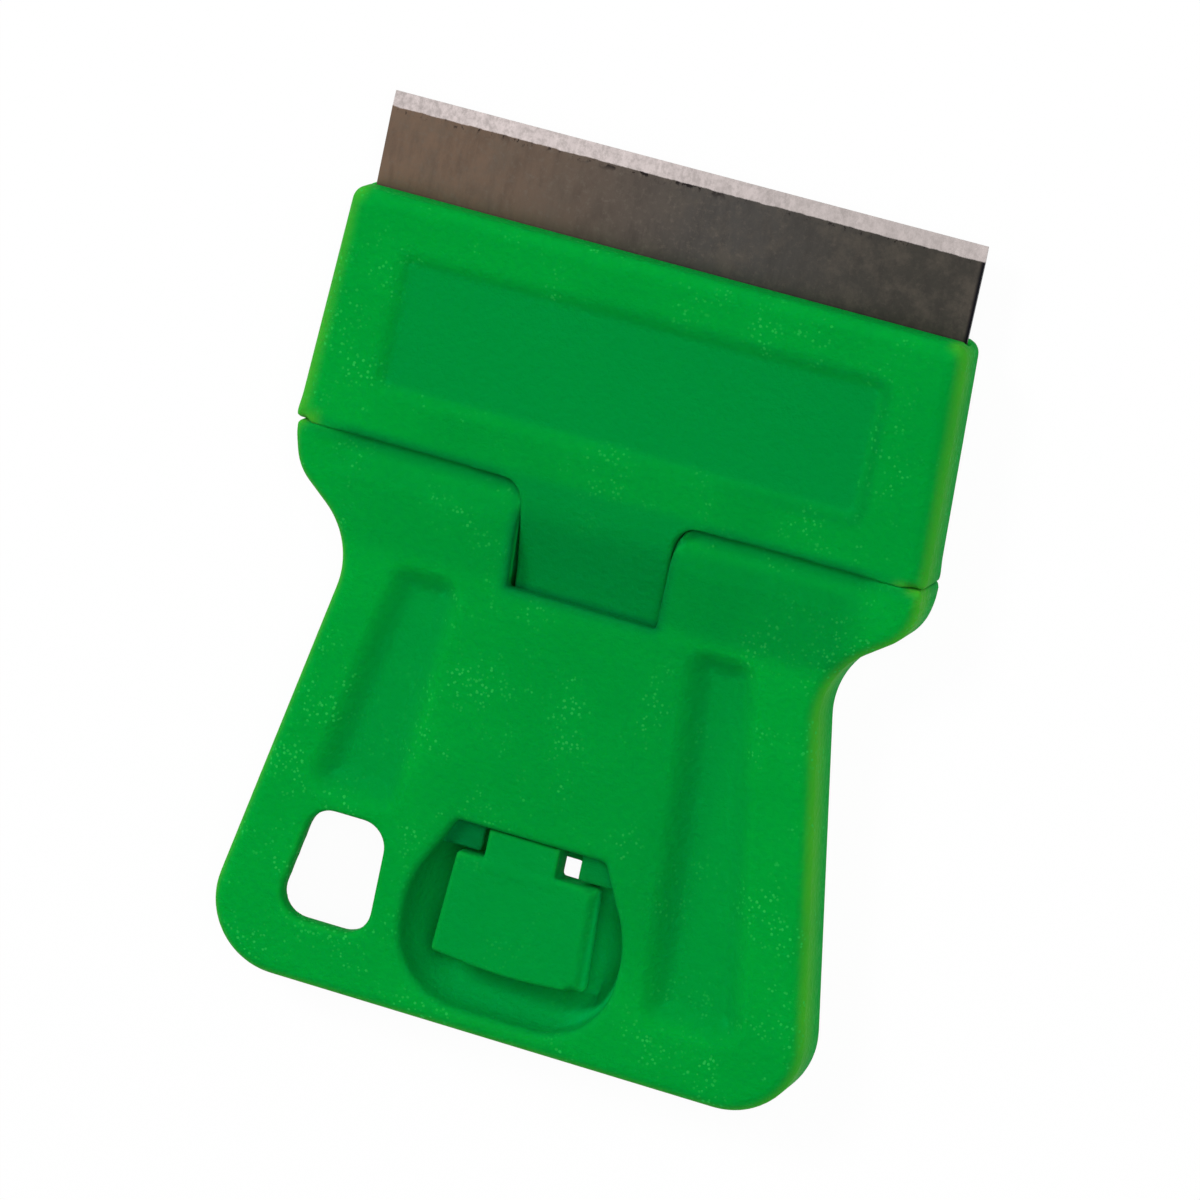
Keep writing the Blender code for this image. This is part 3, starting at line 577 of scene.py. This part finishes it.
# The tongue's root flares out of the holder's border and slopes down to the bridge.
corners = [(TONGUE_HALF, ROOT_END), (TONGUE_HALF - 0.05, SEAM), (FLARE_HALF, SEAM),
           (FLARE_HALF, FLARE_TOP), (-FLARE_HALF, FLARE_TOP), (-FLARE_HALF, SEAM),
           (-TONGUE_HALF - 0.35, SEAM), (-TONGUE_HALF, BRIDGE_TOP), (-TONGUE_HALF, ROOT_END)]
root = mould.plan(corners, [0, ROOT_CORNER, 0, 0, 0, 0, ROOT_CORNER, 0, 0])
slope = TONGUE_TOP + (THICKNESS - TONGUE_TOP) * fade(mould.y, BRIDGE_TOP + 0.25, SEAM - 0.6)
under = TONGUE_UNDER + 0.8 * np.clip((mould.y - BRIDGE_TOP) / (SEAM - BRIDGE_TOP), 0, 1)
root = cut(mould.through(root), -mould.below(slope + 0 * mould.x), 0.3)
holder = join(holder, np.maximum(root, under - mould.z), 0.12)

# Painted shade: a soft shadow line at the seam, at the tongue's foot by the bridge, over the border's
# middle and round the plaque, and a faint shade over the whole holder that grows towards the right.
shade = band(mould.y, SEAM - 0.1, SEAM, SEAM + 0.1, SEAM + 0.75)
shade = shade * 0.6 * fade(aside, 5.2, 7.5) * (1 - fade(aside, 16.0, 18.2))
foot = band(mould.y, BRIDGE_TOP - 0.4, BRIDGE_TOP - 0.1, BRIDGE_TOP + 0.1, BRIDGE_TOP + 0.4)
shade = np.maximum(shade, 0.8 * foot)
panel = (1 - fade(aside, 9, 14)) * (1 - fade(mould.y, 37.2, 38.4)) * (1 - 0.4 * fade(mould.y, 32, 33.5))
shade = np.maximum(shade, 0.36 * panel)
lean = np.clip(mould.x / 12, -1, 1)
border = band(plaque, -0.6, 0.1, 0.1, 1.0) * (0.6 + 0.4 * lean)
shade = np.maximum(np.maximum(shade, 0.4 * border), 0.06 + 0.04 * lean)
polish = np.maximum(fade(-plaque, 0, 0.8), 0.8 * (1 - fade(mould.y, SEAM + 0.1, SEAM + 0.9)))
# Thin: painted light on the outer rims at the sides, for the light that comes through them.
thin = fade(plan, -0.6 - 0.7 * (mould.x < 0), 0) * fade(aside, 18.3, 19.2)
holder_shell = skin("holder_shell", mould, np.maximum(holder, mould.z - THICKNESS),
                    polish=polish, shade=shade, thin=thin * fade(mould.z, 1.2, 4.2))
plastic.dress(holder_shell)
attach(holder_shell, "head")
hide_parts("blade_holder")


# Latch tongue: the springy end of the holder's tongue, in the same plastic, with a narrow neck and the
# T-shaped pad that the thumb presses to free its shoulders from the handle's two lugs.
LATCH_SPACE = ((-5.7, 3.3, 2.0), (5.7, 27.0, 4.7))
LATCH_CELL = (0.12, 0.12, 0.08)
SPRING_HALF = 4.75
SPRING_FOOT = 13.8
ROOT_GAP = 0.045
NECK = (-2.85, 1.8)
NECK_FOOT = 10.3
PAD_TOP = 4.3
PAD = [(0, 3.95), (5.03, 4.45), (4.65, 11.05), (-4.65, 11.05), (-5.03, 4.45)]
PAD_RADII = [30, 0.3, 0.3, 0.3, 0.3]

mould = Mould(*LATCH_SPACE, LATCH_CELL)
spring = (-SPRING_HALF, SPRING_HALF, SPRING_FOOT, ROOT_END - ROOT_GAP)
latch = mould.block(*spring, TONGUE_UNDER, TONGUE_TOP, 0.04)
latch = join(latch, mould.block(*NECK, NECK_FOOT, SPRING_FOOT + 0.4, TONGUE_UNDER, TONGUE_TOP, 0.12), 0.3)
latch = join(latch, mould.block(*NECK, NECK_FOOT, BRIDGE_FOOT - 0.15, TONGUE_UNDER, PAD_TOP, 0.15), 0.2)
rim = 0.3 + 0.55 * fade(mould.x, 3.6, 4.4)
pad = mould.plate(mould.plan(PAD, PAD_RADII), TONGUE_UNDER, PAD_TOP, rim)
# Painted light: the pad's right-hand side wall is painted pale, as if lit.
lit = 0.7 * fade(mould.x, 4.4, 4.8) * (1 - fade(mould.z, 3.7, 4.2))
latch_shell = skin("latch_shell", mould, join(latch, pad, 0.25), polish=0.75, thin=0, shade=-lit)
plastic.dress(latch_shell)
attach(latch_shell, "latch")
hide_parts("latch_tongue")


# Blade: a hardened steel strip, ground on both faces to its edge. The strip keeps its dark rolled skin
# with faint marks across it, and the grinding leaves a bright band with a slightly ragged upper line.
BLADE_HALF = 19.05
BLADE_REAR = 36.885
BLADE_THICKNESS = 0.23
BLADE_SHIFT = 0.12
EDGE_THICKNESS = 0.03
GRIND = 0.98
RAGGED = 0.05


def ground_strip():
    """Node group for a strip with a tapered band along one side."""
    tree = bpy.data.node_groups.new("ground strip", 'GeometryNodeTree')
    tree.interface.new_socket("Geometry", in_out='INPUT', socket_type='NodeSocketGeometry')
    for label in ("Width", "Height", "Thickness", "Grind", "Edge", "Ragged"):
        tree.interface.new_socket(label, in_out='INPUT', socket_type='NodeSocketFloat')
    tree.interface.new_socket("Steel", in_out='INPUT', socket_type='NodeSocketMaterial')
    tree.interface.new_socket("Geometry", in_out='OUTPUT', socket_type='NodeSocketGeometry')
    sizes = tree.nodes.new('NodeGroupInput').outputs

    def add(kind, settings, values, output=0):
        made = tree.nodes.new(kind)
        for setting, value in settings.items():
            setattr(made, setting, value)
        for key, value in values.items():
            if isinstance(value, bpy.types.NodeSocket):
                tree.links.new(value, made.inputs[key])
            else:
                made.inputs[key].default_value = value
        return made.outputs[output]

    def math(operation, *values, **settings):
        return add('ShaderNodeMath', {"operation": operation, **settings}, dict(enumerate(values)))

    size = add('ShaderNodeCombineXYZ', {}, {0: sizes["Width"], 1: sizes["Height"], 2: sizes["Thickness"]})
    strip = add('GeometryNodeMeshCube', {},
                {"Size": size, "Vertices X": 241, "Vertices Y": 20, "Vertices Z": 2})
    spot = tree.nodes.new('GeometryNodeInputPosition').outputs[0]
    split = tree.nodes.new('ShaderNodeSeparateXYZ')
    tree.links.new(spot, split.inputs[0])
    x, y, z = split.outputs
    rag = add('ShaderNodeTexNoise', {"noise_dimensions": '1D', "normalize": False},
              {"W": math('MULTIPLY', x, 1 / MM), "Scale": 0.8, "Detail": 4.0})
    rim = math('SUBTRACT', math('MULTIPLY', sizes["Height"], 0.5), y)
    row = math('MULTIPLY', math('COMPARE', rim, sizes["Grind"], 0.2 * MM), sizes["Ragged"])
    y = math('ADD', y, math('MULTIPLY', rag, row))
    taper = math('DIVIDE', rim, sizes["Grind"], use_clamp=True)
    thin = math('DIVIDE', sizes["Edge"], sizes["Thickness"])
    taper = math('ADD', thin, math('MULTIPLY', taper, math('SUBTRACT', 1, thin)))
    moved = add('ShaderNodeCombineXYZ', {}, {0: x, 1: y, 2: math('MULTIPLY', z, taper)})
    strip = add('GeometryNodeSetPosition', {}, {"Geometry": strip, "Position": moved})
    strip = add('GeometryNodeSetShadeSmooth', {}, {"Geometry": strip, "Shade Smooth": False})
    strip = add('GeometryNodeRealizeInstances', {}, {"Geometry": strip})
    strip = add('GeometryNodeSetMaterial', {}, {"Geometry": strip, "Material": sizes["Steel"]})
    end = tree.nodes.new('NodeGroupOutput')
    tree.links.new(strip, end.inputs[0])
    return tree


def grown(name, tree, values, shift):
    """The mesh that a node group makes from its inputs, as a plain piece moved to its place."""
    seed = placed(name + "_seed", bpy.data.meshes.new(name))
    modifier = seed.modifiers.new(name, 'NODES')
    modifier.node_group = tree
    for item in tree.interface.items_tree:
        if item.in_out == 'INPUT' and item.name in values:
            modifier[item.identifier] = values[item.name]
    shaped = seed.evaluated_get(bpy.context.evaluated_depsgraph_get())
    mesh = bpy.data.meshes.new_from_object(shaped)
    mesh.transform(Matrix.Translation(shift))
    bpy.data.objects.remove(seed)
    return placed(name, mesh)


steel = Finish("blade steel", Metallic=1.0)
middle = (BLADE_REAR + LENGTH) / 2 - LENGTH / 2
sizes = {"Width": BLADE_HALF * 2 * MM, "Height": (LENGTH - BLADE_REAR) * MM,
         "Thickness": BLADE_THICKNESS * MM, "Grind": GRIND * MM, "Edge": EDGE_THICKNESS * MM,
         "Ragged": RAGGED * MM, "Steel": steel.material}
blade_strip = grown("blade_strip", ground_strip(), sizes,
                    (BLADE_SHIFT * MM, middle * MM, BLADE_PLANE * MM))

BROWN_STEEL = (0.135, 0.090, 0.063, 1)
GREY_STEEL = (0.056, 0.052, 0.048, 1)
DARK_STEEL = (0.038, 0.035, 0.030, 1)
MARK_COLOUR = (0.022, 0.019, 0.018, 1)
STAIN_COLOUR = (0.090, 0.075, 0.060, 1)
DUST_COLOUR = (0.120, 0.100, 0.082, 1)
END_COLOUR = (0.006, 0.006, 0.008, 1)
NICK_COLOUR = (0.012, 0.010, 0.010, 1)
GROUND_STEEL = (0.49, 0.43, 0.42, 1)
GROUND_FLECK = (0.34, 0.30, 0.29, 1)
GROUND_RIGHT = (0.28, 0.25, 0.24, 1)

# The rolled skin is brown at the left and dark at the right, with marks, stains and a little dust.
across = steel.add('ShaderNodeSeparateXYZ', {}, {0: steel.place()}, "X")
along = steel.add('ShaderNodeSeparateXYZ', {}, {0: steel.place()}, "Y")
ragged = steel.noise(1.1, 4, 0.6, (1, 0.2, 0.2))
marks = steel.noise(1.4, 5, 0.65, (1, 0.35, 1))
stain = steel.noise(0.45, 6, 0.75)
fleck = steel.noise(3.2, 3, 0.7, (1, 0.8, 1))
dust = steel.noise(2.8, 4, 0.8)
nick = steel.noise(1.3, 2, 0.6)
colour = steel.mix(across.step(-17, 4), BROWN_STEEL, GREY_STEEL)
colour = steel.mix(across.step(2, 16), colour, DARK_STEEL)
colour = steel.mix(marks.step(0.35, 0.75) * 0.35, colour, MARK_COLOUR)
colour = steel.mix(stain.step(0.42, 0.68) * 0.4, colour, STAIN_COLOUR)
dusty = dust.step(0.5, 0.72) * (0.5 - across.step(-4, 12) * 0.35)
colour = steel.mix(dusty, colour, DUST_COLOUR)
colour = steel.mix(across.step(BLADE_HALF - 0.2, BLADE_HALF + 0.05), colour, END_COLOUR)

# The ground band begins at a ragged line, with small nicks along its middle part.
grind_line = LENGTH / 2 - GRIND
ground = (along + (ragged - 0.5) * 0.22).step(grind_line - 0.02, grind_line + 0.06)
line = (along + (ragged - 0.5) * 0.5).step(grind_line - 0.5, grind_line) * (1 - ground)
middle_part = across.step(-14, -6) * (1 - across.step(0, 6))
nicks = fleck.step(0.58, 0.66) * line + nick.step(0.54, 0.60) * middle_part * line
colour = steel.mix(nicks, colour, NICK_COLOUR)
bright = steel.mix(fleck.step(0.35, 0.7), GROUND_STEEL, GROUND_FLECK)
bright = steel.mix(across.step(-10, 14) * 0.6, bright, GROUND_RIGHT)
colour = steel.mix(ground, colour, bright)
bump = steel.grain(marks, 0.01, 0.5)
steel.feed(Base_Color=colour, Roughness=0.34 + marks * 0.2 - ground * 0.1, Normal=bump)
steel.dress(blade_strip)
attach(blade_strip, "head")
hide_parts("blade")


# Blade spine: a strip of mild steel folded over the blade's back edge and crimped onto it. It sits in
# the holder's pocket and shows only from behind, when the holder is pulled out.
MILD_STEEL = (0.34, 0.33, 0.31, 1)
WORN_STEEL = (0.24, 0.23, 0.21, 1)
mild = Finish("spine steel", Metallic=1.0)
rolled = mild.noise(2.0, 4, 0.6, (0.1, 1, 1))
worn = mild.noise(0.5, 3)
colour = mild.mix(worn.step(0.35, 0.7), MILD_STEEL, WORN_STEEL)
mild.feed(Base_Color=colour, Roughness=0.3 + rolled * 0.25, Normal=mild.grain(rolled, 0.01, 0.6))
mild.dress(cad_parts["blade_spine"])


# Floor, lamps and camera: a plain pale floor under soft studio light from the upper left, seen as in
# the photograph, from above and a little from the blade's right-hand end.
SHOWN_TO = ("Is Camera Ray", "Is Glossy Ray", "Is Transmission Ray")
WHITE = (1, 1, 1, 1)
FLOOR_COLOUR = (0.86, 0.86, 0.86, 1)
FLOOR_HALF = 1.5
FLOOR_DROP = 0.00005
GLOW_SHARE = 0.96
SENSOR = 36
LENS = 199.844
CAMERA_PLACE = (0.105304, 0.094713, 0.382676)
CAMERA_TURN = (-9.8408, 17.8868, 12.4531)
STUDIO_LIGHT = 0.28

pale = Finish("pale floor", Roughness=0.9, Base_Color=FLOOR_COLOUR)
rays = pale.tree.nodes.new('ShaderNodeLightPath').outputs
shown = [Reading(pale, rays[kind]) for kind in SHOWN_TO]
glow = pale.add('ShaderNodeEmission', {}, {"Color": WHITE, "Strength": 1.0})
lit = Reading(pale, pale.shader.outputs[0])
seen = pale.add('ShaderNodeMixShader', {}, {0: sum(shown) * GLOW_SHARE, 1: lit, 2: glow})
pale.set(pale.tree.nodes["Material Output"].inputs["Surface"], seen)
mesh = bpy.data.meshes.new("floor")
mesh.from_pydata([(x, y, 0) for x, y in box(FLOOR_HALF, -FLOOR_HALF, FLOOR_HALF)], [], [(0, 1, 2, 3)])
floor = placed("floor", mesh)
floor.location.z = -FLOOR_DROP
pale.dress(floor)

camera = placed("camera", bpy.data.cameras.new("camera"))
camera.data.sensor_width = SENSOR
camera.data.lens = LENS
camera.location = CAMERA_PLACE
camera.rotation_euler = [math.radians(turn) for turn in CAMERA_TURN]
bpy.context.scene.camera = camera


def lamp(name, size, power, right, up, back):
    """A soft square lamp, placed as the camera sees it and turned to the scraper."""
    light = bpy.data.lights.new(name, 'AREA')
    light.size, light.energy = size, power
    stand = placed(name, light)
    stand.location = camera.rotation_euler.to_matrix() @ Vector((right, up, back))
    stand.rotation_euler = stand.location.to_track_quat('Z', 'Y').to_euler()


lamp("key", 0.2, 2.6, -0.46, 0.34, 0.44)
lamp("fill", 0.4, 3.3, 0.05, 0.0, 0.75)

world = bpy.data.worlds.new("studio")
bpy.context.scene.world = world
world.use_nodes = True
nodes, links = world.node_tree.nodes, world.node_tree.links
backdrop = nodes["Background"].inputs
backdrop["Color"].default_value = WHITE
rays = nodes.new('ShaderNodeLightPath').outputs
strength = nodes.new('ShaderNodeMapRange')
strength.inputs["To Min"].default_value = STUDIO_LIGHT
strength.inputs["To Max"].default_value = 1.0
links.new(strength.outputs[0], backdrop["Strength"])
total = strength.inputs["Value"]
for kind in SHOWN_TO:
    plus = nodes.new('ShaderNodeMath')
    plus.inputs[1].default_value = 0
    links.new(rays[kind], plus.inputs[0])
    links.new(plus.outputs[0], total)
    total = plus.inputs[1]
bpy.context.scene.view_settings.view_transform = 'Standard'
